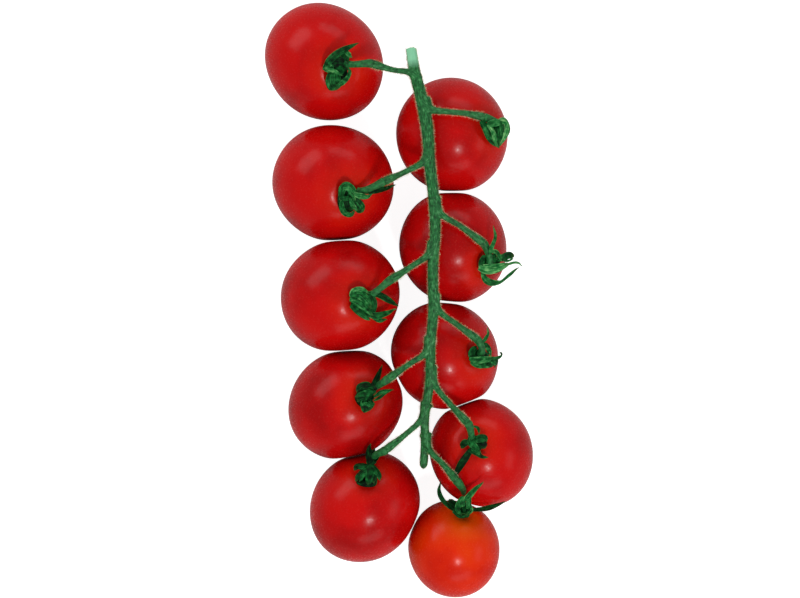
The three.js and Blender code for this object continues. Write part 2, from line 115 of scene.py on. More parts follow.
# One entry for each fruit, from the cut end down: first left, then right of the main stem.
#   centre, long, short, turn: the outline from above, an oval turned by turn degrees
#   lift: how far the lowest point hangs above the table
#   eye: where the stalk enters, from the centre of the outline
#   rise: how strongly the end stalk stands up from the eye before it bends to the knuckle
#   foot: where the end stalk goes down into the calyx, from the eye
#    leaf_shade, where given: how much paler all its sepals are, or darker if less than 0, added to
#      their painted light and shade
#   shade: how much riper and brighter its skin is, or deeper if less than 0
#   stalk: centre line from inside the main stem to the knuckle
#    sepals: width, how blunt (or how spear-shaped, if less than 0), how pale (or dark, if less than
#      0), how far folded (edges up, or down if less than 0), then points as (across, along, height
#      over the skin) from the eye. How pale is painted light and shade: the first, broad blade of each
#      calyx is a dark sheet in the eye that stands for the shade in its hollow, and the others are
#      darker where shade falls on them and paler where light falls
FRUITS = [
    dict(
        centre=(-21, 66.5), long=34.5, short=31.5, turn=136, lift=0, shade=0.05, eye=(4.4, -3.7), rise=5,
        foot=(2, 2.2),
        stalk=[(5.3, 60, 32.6), (3, 62.2, 33.2), (-1.8, 63, 34), (-7.4, 64.6, 35)],
        sepals=[
            (5.6, 1, -0.12, 0.1, (-2.4, 1.6, 0.8), (0.3, 1.2, 0.7), (2.5, 0.6, 0.8)),
            (3.4, 1, -0.12, 0.1, (0.5, 0.8, 0.9), (0.8, -0.9, 0.9), (1, -2.6, 0.9)),
            (2.1, -0.1, 0.23, 0.45, (-3.7, 0.1, 1.4), (-2.9, 2.2, 2.4), (-1, 4.1, 3.2),
             (1.2, 5.5, 3.8), (3.4, 6.6, 4.3), (5.5, 7.6, 4.6)),
            (2.7, 0.8, 0.58, -0.2, (-1.4, 0.2, 1.5), (-3.2, 0.6, 2.3), (-4.4, 0.4, 1.8)),
            (4.4, 0.8, 0.28, 0.25, (-1.2, -0.4, 1.4), (-1.6, -2.6, 1.8), (-0.7, -5.1, 1.2)),
            (1.1, 0.3, 0.73, -0.2, (-3.7, 0.5, 2.6), (-1.4, -0.2, 3), (1, -1.4, 2.8)),
            (1.5, 0.4, 0.48, 0.5, (-0.7, -4.1, 1.5), (1, -3.1, 2.4), (2.2, -1.9, 2.8),
             (2.9, -0.3, 2.8), (2.5, 0.9, 2.2)),
            (1.4, 0.2, 0.78, 0.2, (1.7, 5.3, 3.6), (2.6, 4.4, 4), (3.6, 3.5, 3.8)),
            (1.8, 0.3, 0.13, 0.3, (0.5, 4.8, 2.5), (1.8, 3.8, 3), (2.6, 2.3, 2.6)),
        ],
    ),
    dict(
        centre=(-18.5, 32.5), long=34, short=32.5, turn=166, lift=0, shade=0.02, eye=(5.1, -3.8), rise=2.5,
        foot=(2.2, 1.2),
        stalk=[(8.3, 40.5, 32.8), (6.6, 37.8, 33.4), (2.6, 35.5, 34), (-4.2, 32.3, 35)],
        sepals=[
            (5.2, 1, -0.1, 0.1, (-1.2, 1.4, 0.8), (-1.1, -1.8, 0.8), (-0.3, -4.7, 0.7)),
            (2.3, 0.5, 0.5, -0.3, (1.4, -0.2, 2), (0.5, 1.4, 3), (-1, 2.4, 3.2), (-2.1, 1.6, 2.8),
             (-2.5, -0, 2.2), (-2.6, -1.7, 1.4)),
            (1.8, 0.4, 0.7, -0.3, (-2, 1.9, 3.6), (-0.5, 1.7, 4), (0.8, 0.2, 3.6), (1.4, -1.5, 2.6)),
            (1.7, -0.2, 0.65, 0.3, (0.9, 0.2, 3.2), (2.6, -0.3, 3.8), (4.5, -0.5, 3.8), (6.1, 0.4, 4)),
            (1.6, 0.2, 0, 0.3, (3.7, 0.7, 1.6), (8.2, 1.6, 2), (10.4, 2.3, 2.4), (12.3, 3.1, 3)),
            (1.7, 0.6, 0.4, 0.5, (-2.6, -1.5, 1.3), (-2.3, -3.8, 2), (-1.3, -5, 2), (0.1, -5.2, 1.6),
             (1.1, -4.2, 1.4)),
            (3.2, 0.7, 0.3, 0.2, (0.6, -1, 1.6), (2, -2.8, 2), (3.4, -4.5, 1.4)),
            (1.3, 0.4, 0.7, -0.2, (-0.1, -0.8, 2.6), (0.6, -2.8, 2.8), (2, -4.2, 2.2)),
            (1.5, 0.4, 0.35, 0.3, (-2.9, -0.5, 2.4), (-1.7, -1, 2.6), (0, -1, 2.4)),
        ],
    ),
    dict(
        centre=(-16.5, 1), long=33.5, short=31.5, turn=20, lift=2.2, shade=-0.05, eye=(6.5, -1.7), rise=2.5,
        foot=(1.5, 2),
        stalk=[(9.4, 15.5, 32.4), (8, 12.4, 33.2), (4, 9.5, 34), (-2.2, 5.5, 35.5)],
        sepals=[
            (6, 1, -0.06, 0.1, (-2.8, 1.2, 0.7), (-0.3, -0.5, 0.8), (1.9, -3.2, 0.7)),
            (2.4, 0.4, 0.64, -0.3, (-3.2, 1.2, 2), (-2.3, 2.6, 2.6), (-0.4, 3.1, 3), (1.7, 2.3, 2.4)),
            (2.4, 0.3, 0.54, -0.35, (-3, 2, 2.6), (-1.1, 2.1, 3.2), (0.8, 0.8, 3.2), (2.3, -1.8, 2.6)),
            (2.3, 0.3, 0.49, -0.35, (-3.6, 0.8, 2), (-1.4, 0.2, 2.8), (0.8, -1.5, 2.8), (2.8, -3.7, 2)),
            (2.4, 0.4, 0.34, -0.3, (-3.4, -0.8, 1.4), (-1.7, -1.9, 2), (0.2, -3.4, 2), (1.9, -5, 1.4)),
            (2, 0.4, 0.24, 0.3, (1.5, 2.2, 2.4), (2.8, 0.5, 2.4), (2.9, -1.8, 2), (2.5, -3.7, 1.6)),
            (1.9, 0.1, 0.09, 0.35, (1.4, 2.2, 2), (3.8, 2.1, 2.8), (5.1, 1.6, 3), (7.3, 0.3, 3.4),
             (9.7, -1.1, 3.8)),
            (2.2, 0.1, 0.44, 0.35, (0.9, -3, 1.3), (3.4, -3.7, 2), (5.9, -3.1, 2.4), (9.1, -1.8, 3.4)),
            (1.4, 0.1, 0.54, 0.3, (2.4, -4, 1.5), (4.6, -5, 1.6), (6.6, -4.7, 1.8)),
        ],
    ),
    dict(
        centre=(-15, -29.3), long=33, short=30, turn=33, lift=1, shade=-0.1, eye=(6.1, 3), rise=5,
        foot=(2, 2.1), leaf_shade=-0.12,
        stalk=[(8.6, -10.5, 32), (7, -14.8, 32.2), (2.9, -17.6, 32.8), (-3.1, -21.8, 34.2)],
        sepals=[
            (5.4, 1, -0.2, 0.1, (-2.5, 1, 0.8), (-0.8, -0.7, 0.8), (0.4, -2.7, 0.7)),
            (2.5, -0.8, -0.12, 0.35, (1.3, 1.2, 1.8), (2.1, 3.1, 2.8), (2.9, 5.1, 3.4), (3.7, 7, 3.8),
             (4.2, 8.3, 4.2)),
            (2.7, 0.5, 0.2, -0.3, (1.9, 1.9, 2.4), (-0, 2.6, 3), (-1.7, 2.2, 2.6), (-2.7, 0.7, 1.6)),
            (1.9, 0.4, 0.4, -0.3, (2.4, 1, 3), (-0.1, 0.7, 3.4), (-2, 0.2, 3), (-3.2, -0.4, 2)),
            (2.4, 0.5, 0.15, -0.2, (0.9, -0.1, 2), (-1.2, -0.7, 2.4), (-2.7, -1.7, 1.6)),
            (4.2, 0.9, 0.2, 0.25, (0, -1, 1.4), (0, -2.7, 1.6), (0.5, -4.3, 1.1)),
            (1.1, 0.4, 0.65, -0.2, (-1.4, -2.7, 2.2), (-0.3, -2.3, 2.6), (0.8, -3.1, 2.4)),
            (1.2, 0.4, 0.5, -0.2, (0.4, -1.7, 2.4), (1.4, -2.7, 2.4), (2.1, -2.2, 2)),
            (1.1, 0.1, 0.55, 0.2, (1.9, -0.5, 2), (4, 0.9, 2.8), (5.6, 1.2, 3.2), (7.3, 1.5, 3.4)),
            (0.9, 0.1, 0.45, 0.2, (1.9, -1.5, 1.8), (3.4, -0.7, 2.4), (4.9, 0.4, 2.8), (6.3, 1, 3)),
        ],
    ),
    dict(
        centre=(-9.7, -58), long=32.5, short=29.5, turn=50, lift=0, shade=-0.03, eye=(1, 10.8), rise=4,
        foot=(1.2, 1.8), leaf_shade=-0.12,
        stalk=[(7.6, -28.5, 29.6), (5.9, -33.2, 29.5), (1.9, -37, 30), (-3.7, -41.4, 31)],
        sepals=[
            (6.8, 1, -0.22, 0.1, (-2.8, -1.2, 0.7), (-0.1, -1.8, 0.8), (2.5, -1.6, 0.7)),
            (3, 0.8, -0.12, 0.2, (2.5, 4.6, 3.2), (1.2, 2.9, 2.6), (0.2, 1.3, 2)),
            (2.1, 0.2, -0.12, 0.35, (0.5, 1.5, 2), (0.4, 3.8, 3.2), (0.5, 5.7, 4.5), (0.9, 7.5, 6.4)),
            (1.6, 0.2, -0.14, 0.3, (1, 2.3, 2.4), (1.4, 4.2, 3.6), (1.9, 6.1, 5)),
            (2.4, 0.5, 0.13, -0.3, (0.3, 1.4, 2.4), (-1.4, 1.4, 2.8), (-3, 1.3, 2.4), (-3.8, 0, 1.4)),
            (2.2, 0.4, 0.23, -0.3, (0.3, 0.8, 2.6), (-1.3, -0.2, 2.8), (-2.8, -1.6, 2.2),
             (-3.4, -2.9, 1.2)),
            (2.4, 0.5, 0.28, -0.3, (0.5, 1.5, 3), (0.5, -0.9, 2.8), (0.2, -2.9, 1.8), (-0.1, -4.2, 1)),
            (2.2, 0.4, 0.33, -0.3, (0.8, 1.8, 3), (2.1, 0.4, 2.8), (3.2, -1.2, 2), (3.3, -2.7, 1.2)),
            (1.9, 0.4, 0.18, -0.3, (0.8, 0.8, 2.4), (1.5, -1.2, 2.2), (1.7, -3.5, 1.1)),
            (1.2, 0.3, 0.58, -0.2, (-1.1, -0.7, 2.6), (-1.8, -1.9, 2.4), (-2.3, -2.9, 1.6)),
        ],
    ),
    dict(
        centre=(14.7, 46), long=32.5, short=31, turn=104, lift=0, shade=-0.03, eye=(11.8, 1.2), rise=2.5,
        foot=(0.4, 1),
        stalk=[(6.8, 55, 33), (8.6, 52.3, 33.6), (12.8, 51.6, 33.8), (18.3, 51.1, 33), (23.3, 50.2, 31)],
        sepals=[
            (6.4, 1, 0.06, 0.1, (-2.3, 0.6, 0.7), (0.4, -1.1, 0.8), (1.3, -3.2, 0.7)),
            (2.2, 1, 0.11, 0.1, (2.2, 1.6, 2), (2.5, -0.1, 2), (1.9, -2.6, 1.6)),
            (2.8, 0.3, 0.36, -0.35, (-4, 2, 2.4), (-2.5, 0.1, 2.6), (-1.3, -2.2, 2.2), (0.5, -5, 1.4)),
            (1.7, 0.3, 0.81, -0.3, (-2.1, 1.1, 3), (-0.8, -0.6, 3), (0, -2.9, 2.6), (0.7, -5.2, 1.8)),
            (2.3, 0.4, 0.31, 0.3, (0.4, 1.8, 2), (0.5, -0.6, 2.2), (0.7, -2.9, 2), (1, -5.3, 1.4)),
            (1.9, 0.3, 0.61, -0.3, (-0.3, 2, 3.2), (1.7, 1.3, 3.4), (2, -1.1, 3), (1.2, -4.1, 2)),
            (2.5, 0.4, 0.86, -0.35, (1.1, 2.3, 3.6), (3, 2, 4.4), (3.7, 0.1, 4.6), (2.9, -2.4, 3.6),
             (1.3, -4.7, 2)),
            (2.1, 0.4, 0.61, -0.2, (-2.3, 1.1, 3.2), (0.2, 1.5, 3.6), (2.4, 2, 3.8)),
        ],
    ),
    dict(
        centre=(15, 14.7), long=31.5, short=30, turn=112, lift=0, shade=-0.05, eye=(9.3, -5.2), rise=3,
        foot=(-0.4, 0.6),
        stalk=[(9.6, 28, 32.8), (11.2, 23.8, 33.2), (16.7, 20.2, 33.2), (23.2, 15.5, 30.8)],
        sepals=[
            (4, 1, 0, 0.1, (-1.3, 1.5, 0.8), (0.1, 0.2, 0.9), (1.9, 1.2, 1)),
            (1.5, 0.1, 0.55, 0.3, (0.4, 1.5, 2), (0.9, 4.7, 4), (1.9, 7.4, 5.2), (1.9, 8.9, 5.6),
             (1.3, 10.9, 6)),
            (1.3, 0.2, 0.6, 0.35, (0.6, 3.7, 3.4), (2.1, 3.7, 4), (3.1, 2.5, 4), (4, 1, 3.6)),
            (2.3, 0.8, 0.15, 0.3, (1.9, 1.2, 2), (3.6, 2, 3.4), (5.5, 2.7, 4.8), (7.4, 2.5, 5.8)),
            (0.8, 0.5, 0.6, 0.2, (4.3, 1.3, 4), (5.8, 1.2, 4.8), (7.2, 1.9, 5.6)),
            (3.1, 0.3, 0.85, -0.2, (-2.5, -0.8, 1.6), (0.1, -1.2, 2.6), (2.9, -0.9, 3.4),
             (6.2, 0.4, 4.8)),
            (0.9, -0.5, 0.85, -0.1, (4.1, -0.5, 3.6), (6.1, 0.3, 4.6), (7.6, 0.7, 5.2),
             (8.8, 0.6, 5.6), (9.9, -0.4, 5.6)),
            (2, 0.3, 0.5, 0.35, (-1.5, -1.2, 1.2), (-0.9, -3.5, 1.5), (1, -4.7, 2), (3.4, -4.5, 3),
             (5.8, -2.7, 4.4), (8.8, -0.5, 6)),
            (2, 0.5, 0.25, -0.2, (-0.8, 2.7, 1.8), (-1.5, 0.5, 1.8), (-1.1, -1.6, 1.3)),
            (1.8, 0.4, 0.2, 0.3, (1.6, 3.2, 2), (2.1, 1.5, 2.4), (3.6, 0.2, 2.6)),
        ],
    ),
    dict(
        centre=(12.6, -15.7), long=31, short=29.5, turn=128, lift=0, shade=-0.05, eye=(9.4, 0), rise=3,
        foot=(-0.3, 0.8),
        stalk=[(9.4, 1.5, 32.4), (10.8, -2.9, 32.6), (15.9, -6.9, 32.6), (21.4, -10.9, 30.4)],
        sepals=[
            (4.6, 1, 0, 0.1, (-2, 0.5, 0.8), (0.2, -0.5, 0.8), (2.7, -1.5, 0.8)),
            (1.1, 0.1, 0.5, 0.3, (0.6, 3.5, 3.4), (1.6, 4.8, 4.4), (2.4, 6.3, 5), (2.1, 8, 5.8)),
            (2, 0.5, 0.15, -0.2, (-0.8, 2.7, 2), (-2, 1, 2.2), (-2, -1.2, 1.4)),
            (2, 0.4, 0.6, -0.3, (-2.8, -0.6, 2.2), (-0.8, -1, 2.8), (1.7, -0.9, 3), (4.4, -0.5, 3)),
            (2.1, 0.5, 0.5, -0.3, (-2.4, -1.5, 1.4), (-0.5, -2.2, 1.8), (2, -2.4, 1.8),
             (4.4, -2.5, 1.6)),
            (2, 0.4, 0.3, 0.3, (1.2, 3.5, 2.2), (2.4, 2.2, 2.6), (2.6, 0.2, 2.2)),
            (1.2, 0.3, 0.7, -0.2, (2, 2.5, 3), (3.1, 1.5, 3), (3.3, -0.2, 2.8)),
            (1, 0.1, 0.45, 0.2, (3.2, -0.7, 2.6), (4.9, -0.5, 3.4), (5.9, -0.1, 4), (6.3, 0.6, 4.4),
             (5.5, 1.3, 4.4)),
            (2.2, 0.6, 0.4, 0.3, (2.2, -1.2, 2.2), (3.7, -1.1, 2.8), (4.7, -1.7, 2.8), (4.4, -3.1, 2)),
            (1, 0.3, 0.05, 0.2, (2, -2.5, 2.2), (2.9, -2, 2.6), (3.9, -1.6, 2.8)),
        ],
    ),
    dict(
        centre=(23, -43), long=31, short=28.5, turn=117, lift=0, shade=0.03, eye=(-2.4, 3.7), rise=3,
        foot=(-0.3, 0.6), leaf_shade=-0.12,
        stalk=[(8.6, -18.5, 31), (10, -23.8, 31), (14.1, -28.9, 32.2), (18.9, -34, 34)],
        sepals=[
            (4.4, 1, -0.15, 0.1, (-1.2, -0.2, 0.7), (0.5, -0.4, 0.8), (2.5, -0.9, 0.8)),
            (2, 0.3, 0.6, -0.3, (-1.1, 1.8, 3), (-1.1, 0.3, 3.2), (0.5, -1.6, 2.8), (1.9, -3.2, 2)),
            (2.3, 0.8, 0.35, -0.2, (-0.1, 0.5, 2.6), (1.3, 1.1, 2.8), (2.7, 1.2, 2.6), (3.5, 0.2, 1.6)),
            (2.5, 0.8, -0.1, 0.2, (0.5, -0.3, 1.6), (2.2, -0.5, 1.6), (3.1, -1.6, 1)),
            (2.2, 0.6, 0.2, -0.2, (-1.5, 0, 2), (-2.9, -0.3, 2), (-3.6, -1.7, 1.2)),
            (0.9, 0.2, 0.55, 0.2, (0, 4.5, 3.6), (1.1, 3.8, 4), (1.3, 2.3, 3.6)),
            (1.4, 0.2, 0.35, 0.3, (-1.5, -2.2, 1.8), (0.5, -2.9, 2.2), (2.2, -3.9, 2), (3.9, -4.1, 2)),
            (1.2, 0.2, 0.55, 0.3, (-0.7, -1.7, 2.6), (0.5, -2.4, 2.8), (1.5, -3.4, 2.6)),
            (2.2, -0.1, 0, 0.3, (-0.6, -1.7, 1.3), (-1.7, -3.4, 1.2), (-3.2, -5.6, 1.2),
             (-4.7, -8.2, 1.3), (-6.3, -10.8, 2.8)),
        ],
    ),
    dict(
        centre=(15.3, -70), long=27.5, short=25.5, turn=104, lift=0, shade=0, eye=(2.3, 10.4), rise=4,
        foot=(0.3, 2.4),
        stalk=[(7.2, -37, 28), (8.2, -41.3, 28.4), (12, -45.4, 29.4), (15.7, -49.8, 29.6)],
        sepals=[
            (3, 1, -0.03, 0.1, (-1.4, 1.6, 3), (0.2, 1.3, 3), (1.8, 1.6, 3)),
            (2.6, 0.5, 0.52, -0.35, (0.1, 5.3, 9), (-0.7, 3.4, 7.6), (-0.9, 1.6, 5.4), (-0.3, 0, 2.6)),
            (2.4, 0.5, 0.52, -0.35, (1.2, 5.8, 9.4), (1.9, 3.7, 7.8), (1.8, 1.6, 5.2),
             (0.8, -0.1, 2.6)),
            (2.2, -0.6, 0.57, 0.3, (0.7, 4.2, 8.6), (2.8, 6.6, 11), (4.4, 8.2, 13), (5.7, 9.5, 14.6)),
            (2.6, 0.8, 0.02, 0, (0.5, 3.2, 5.6), (0.5, 1.4, 3.6), (0.4, 0.1, 2.4)),
            (1.8, 0.15, 0.02, 0.3, (1.5, 1, 3), (5.4, 1.3, 4.6), (8.6, 2, 6), (11.9, 3.4, 8.6)),
            (1.5, 0.15, 0.22, 0.3, (-1.1, 0.3, 2.6), (-3.9, 2.2, 4.6), (-5.9, 4.5, 7),
             (-6.6, 6.7, 8.4), (-6.1, 9.1, 9)),
            (2.2, 0.7, -0.06, 0.2, (-1.1, 1.6, 3.6), (-2.7, 2.9, 4.6), (-3.8, 4.2, 5)),
            (1.4, 0.3, 0.27, -0.2, (-2.8, 1, 3), (-0.7, -0.4, 2.2), (1.7, 0.1, 2.6)),
        ],
    ),
]


# ---- lines and meshes ----


def unit(v):
    """Vectors cut to length one."""
    return v / np.linalg.norm(v, axis=-1, keepdims=True)


def evenly(line, count):
    """Points at even distances along a densely drawn line."""
    way = np.concatenate([[0], np.cumsum(np.linalg.norm(np.diff(line, axis=0), axis=1))])
    at = np.linspace(0, way[-1], count)
    return np.stack([np.interp(at, way, line[:, k]) for k in range(3)], axis=1)


def smooth_line(points, count):
    """A line through all the points: between two of them, a cubic whose end slopes come from the
    neighbours, weighted by the square roots of the distances. Then resampled at even distances."""
    p = np.asarray(points, float)
    p = np.vstack([2 * p[0] - p[1], p, 2 * p[-1] - p[-2]])
    t = np.linspace(0, 1, 40)[:, None]
    runs = []
    for a, b, c, d in zip(p[:-3], p[1:-2], p[2:-1], p[3:]):
        ab, bc, cd = (np.sqrt(np.linalg.norm(v)) for v in (b - a, c - b, d - c))
        slope_b = ((b - a) / ab - (c - a) / (ab + bc) + (c - b) / bc) * bc
        slope_c = ((c - b) / bc - (d - b) / (bc + cd) + (d - c) / cd) * bc
        runs.append(
            (2 * t**3 - 3 * t**2 + 1) * b + (t**3 - 2 * t**2 + t) * slope_b
            + (3 * t**2 - 2 * t**3) * c + (t**3 - t**2) * slope_c
        )
    return evenly(np.vstack(runs), count)


def bent_line(start, leave, arrive, end, count):
    """The cubic that leaves start towards one handle and reaches end from another."""
    t = np.linspace(0, 1, 80)[:, None]
    s = 1 - t
    return evenly(s**3 * start + 3 * s**2 * t * leave + 3 * s * t**2 * arrive + t**3 * end, count)


def along_values(values, count):
    """Evenly spaced values read off smoothly at count places."""
    at = np.linspace(0, len(values) - 1, count)
    rough = np.interp(at, np.arange(len(values)), values)
    kernel = np.hanning(max(3, count // len(values)) + 2)
    margin = len(kernel) // 2
    padded = np.pad(rough, margin, mode="edge")
    return np.convolve(padded, kernel / kernel.sum(), mode="same")[margin : margin + count]


def grid_faces(rows, cols, start=0):
    """Quads of a grid of rows, closed round each row, numbered row by row from start."""
    r, c = np.meshgrid(np.arange(rows - 1), np.arange(cols), indexing="ij")
    here, below, beside = r * cols, (r + 1) * cols, (c + 1) % cols
    quads = np.stack([here + c, here + beside, below + beside, below + c], -1)
    return start + quads.reshape(-1, 4)


class Shape:
    """Vertices and faces gathered from several closed surfaces, with values stored for each vertex."""

    def __init__(self):
        self.points, self.faces, self.marks, self.skins, self.count = [], [], [], [], 0

    def add_rows(self, grid, marks, skin=0):
        """A grid of closed rows, each end shut by one face. marks is three numbers a vertex."""
        rows, cols = grid.shape[:2]
        quads = grid_faces(rows, cols, self.count).tolist()
        first = (self.count + np.arange(cols))[::-1].tolist()
        last = (self.count + (rows - 1) * cols + np.arange(cols)).tolist()
        self.points.append(grid.reshape(-1, 3))
        self.marks.append(np.broadcast_to(marks, grid.shape).reshape(-1, 3))
        self.faces += quads + [first, last]
        self.skins += [skin] * (len(quads) + 2)
        self.count += rows * cols

    def make(self, name, materials):
        """The gathered surfaces as one smooth object, in metres."""
        mesh = bpy.data.meshes.new(name)
        mesh.from_pydata(np.vstack(self.points) * MM, [], self.faces)
        for material in materials:
            mesh.materials.append(material)
        mesh.polygons.foreach_set("material_index", self.skins)
        mesh.polygons.foreach_set("use_smooth", [True] * len(mesh.polygons))
        put_marks(mesh, np.vstack(self.marks))
        obj = bpy.data.objects.new(name, mesh)
        bpy.context.collection.objects.link(obj)
        return obj


def put_marks(mesh, marks):
    """Stores three numbers a vertex, which the materials read as the attribute named marks."""
    layer = mesh.attributes.new("marks", "FLOAT_VECTOR", "POINT")
    layer.data.foreach_set("vector", np.ascontiguousarray(marks, dtype=np.float32).ravel())


def tube(line, radii, cols, reference, flutes=0.0):
    """A closed tube: round each point of the line, a circle of the given radius square to it,
    its radius waved by a few shallow flutes. reference fixes where the circle starts."""
    along = unit(np.gradient(line, axis=0))
    side = unit(reference - (along @ reference)[:, None] * along)
    up = np.cross(along, side)
    turn = np.linspace(0, TAU, cols, endpoint=False)
    radius = radii[:, None] * (1 + flutes * np.cos(FLUTE_COUNT * turn + 0.4))
    return line[:, None] + radius[..., None] * (
        np.cos(turn)[None, :, None] * side[:, None] + np.sin(turn)[None, :, None] * up[:, None]
    )


def rounded(radii, line, edge):
    """Draws the radii in at both ends of the line, as part of a quarter circle over the distance
    edge."""
    way = np.linalg.norm(np.diff(line, axis=0), axis=1).sum() * np.linspace(0, 1, len(line))
    near = np.minimum(way, way[-1] - way)
    short = np.clip(1 - near / edge, 0, 1)
    return radii * (1 - END_EDGE_DRAW * (1 - np.sqrt(1 - short**2)))


# ---- fruit ----


class Fruit:
    """The oval frame of one fruit: a unit sphere drawn out to its length, breadth and height."""

    def __init__(self, facts):
        self.facts = facts
        self.radius = math.sqrt(facts["long"] * facts["short"]) / 2
        self.centre = np.array([*facts["centre"], self.radius + facts["lift"]])
        turn = math.radians(facts["turn"])
        c, s = math.cos(turn), math.sin(turn)
        spin = np.array([[c, -s, 0], [s, c, 0], [0, 0, 1]])
        self.stretch = spin @ np.diag([facts["long"] / 2, facts["short"] / 2, self.radius])
        self.shrink = np.linalg.inv(self.stretch)
        self.eye = np.array([*facts["eye"], 0.0])
        self.axis = unit(self.shrink @ (self.over(0, 0, 0) - self.centre))
        self.outward = unit(self.stretch @ self.axis)

    def over(self, across, along, height):
        """The point at a plan offset from the eye, at a height over the skin."""
        p = self.shrink @ (self.eye + [across, along, 0])
        reach = 1 + height / self.radius
        p[2] = math.sqrt(max(reach**2 - p[0] ** 2 - p[1] ** 2, 0))
        return self.stretch @ p + self.centre


def skin_grid(fruit, number):
    """A fruit's skin. On a unit sphere about the eye's axis, the radius is 1, less a hollow at the
    eye that falls off as a bell curve, less a pinprick at the blossom end, plus faint lobes round
    the shoulder. That is turned to the eye's axis and stretched to the fruit's own oval."""
    rng = np.random.default_rng(40 + number)
    polar = np.linspace(0, 1, SKIN_ROWS)[:, None] ** ROW_CROWDING * math.pi
    turn = np.linspace(0, TAU, SKIN_COLS, endpoint=False)[None, :]
    lobes = rng.uniform(0, TAU, 3)
    radius = 1 - EYE_DEPTH * np.exp(-((polar / EYE_SPREAD) ** 2))
    radius = radius - BLOSSOM_DEPTH * np.exp(-(((math.pi - polar) / BLOSSOM_SPREAD) ** 2))
    radius = radius + np.sin(polar) ** 2 * (
        0.004 * np.cos(2 * turn + lobes[0]) + 0.003 * np.cos(5 * turn + lobes[1])
    ) + 0.004 * np.cos(3 * polar + lobes[2])
    aside = unit(np.cross(fruit.axis, [0.31, 0.87, 0.4]))
    other = np.cross(fruit.axis, aside)
    ball = radius[..., None] * (
        np.cos(polar)[..., None] * fruit.axis
        + np.sin(polar)[..., None] * (np.cos(turn)[..., None] * aside + np.sin(turn)[..., None] * other)
    )
    marks = np.stack(np.broadcast_arrays(polar, fruit.facts["shade"] + 0 * polar, turn), -1)
    return ball @ fruit.stretch.T + fruit.centre, marks


def press(grids, fruits):
    """Neighbours that would pass through each other share a flat with a soft rim: a point that is e
    past the shared plane goes back by half the sum of e and the root of e squared plus the rim
    squared, less a little slack."""
    for i, a in enumerate(fruits):
        for j in range(i + 1, len(fruits)):
            b = fruits[j]
            gap = b.centre - a.centre
            way = unit(gap)
            reach_a = ((grids[i] - a.centre) @ way).max()
            reach_b = ((grids[j] - b.centre) @ -way).max()
            excess = reach_a + reach_b + FRUIT_GAP - np.linalg.norm(gap)
            if excess <= 0:
                continue
            for k, fruit, side, reach in ((i, a, way, reach_a), (j, b, -way, reach_b)):
                past = (grids[k] - fruit.centre) @ side - (reach - excess / 2)
                soft = (past + np.sqrt(past**2 + FLAT_RIM**2)) / 2 - FLAT_SLACK
                grids[k] = grids[k] - np.clip(soft, 0, None)[..., None] * side


# ---- stems ----


def knuckle_line(facts):
    """A stalk's centre line, from inside the main stem to the knuckle."""
    return smooth_line(facts["stalk"], STALK_STEPS)


def weld(obj, grain, passes):
    """Turns overlapping closed surfaces into one skin on a grid of cubes of size grain, smooths it
    and keeps the result as plain mesh."""
    remesh = obj.modifiers.new("weld", "REMESH")
    remesh.mode = "VOXEL"
    remesh.voxel_size = grain * MM
    smooth = obj.modifiers.new("smooth", "SMOOTH")
    smooth.factor = 0.5
    smooth.iterations = passes
    shape = obj.evaluated_get(bpy.context.evaluated_depsgraph_get())
    mesh = bpy.data.meshes.new_from_object(shape)
    obj.modifiers.clear()
    old, obj.data = obj.data, mesh
    bpy.data.meshes.remove(old)


def nearest_on_lines(points, lines, references):
    """For each point: how far along its nearest line it is, its bearing round that line, and which
    line that is."""
    samples = np.vstack(lines)
    alongs = np.vstack([unit(np.gradient(line, axis=0)) for line in lines])
    sides = np.vstack([np.tile(r, (len(line), 1)) for line, r in zip(lines, references)])
    ways = np.concatenate([
        np.concatenate([[0], np.cumsum(np.linalg.norm(np.diff(line, axis=0), axis=1))])
        for line in lines
    ])
    owners = np.concatenate([np.full(len(line), k) for k, line in enumerate(lines)])
    found = np.concatenate([
        np.argmin(((part[:, None] - samples[None]) ** 2).sum(-1), axis=1)
        for part in np.array_split(points, max(1, len(points) // 2000))
    ])
    along = alongs[found]
    side = unit(sides[found] - (sides[found] * along).sum(-1, keepdims=True) * along)
    away = points - samples[found]
    bearing = np.arctan2((away * np.cross(along, side)).sum(-1), (away * side).sum(-1))
    return ways[found], bearing, owners[found]


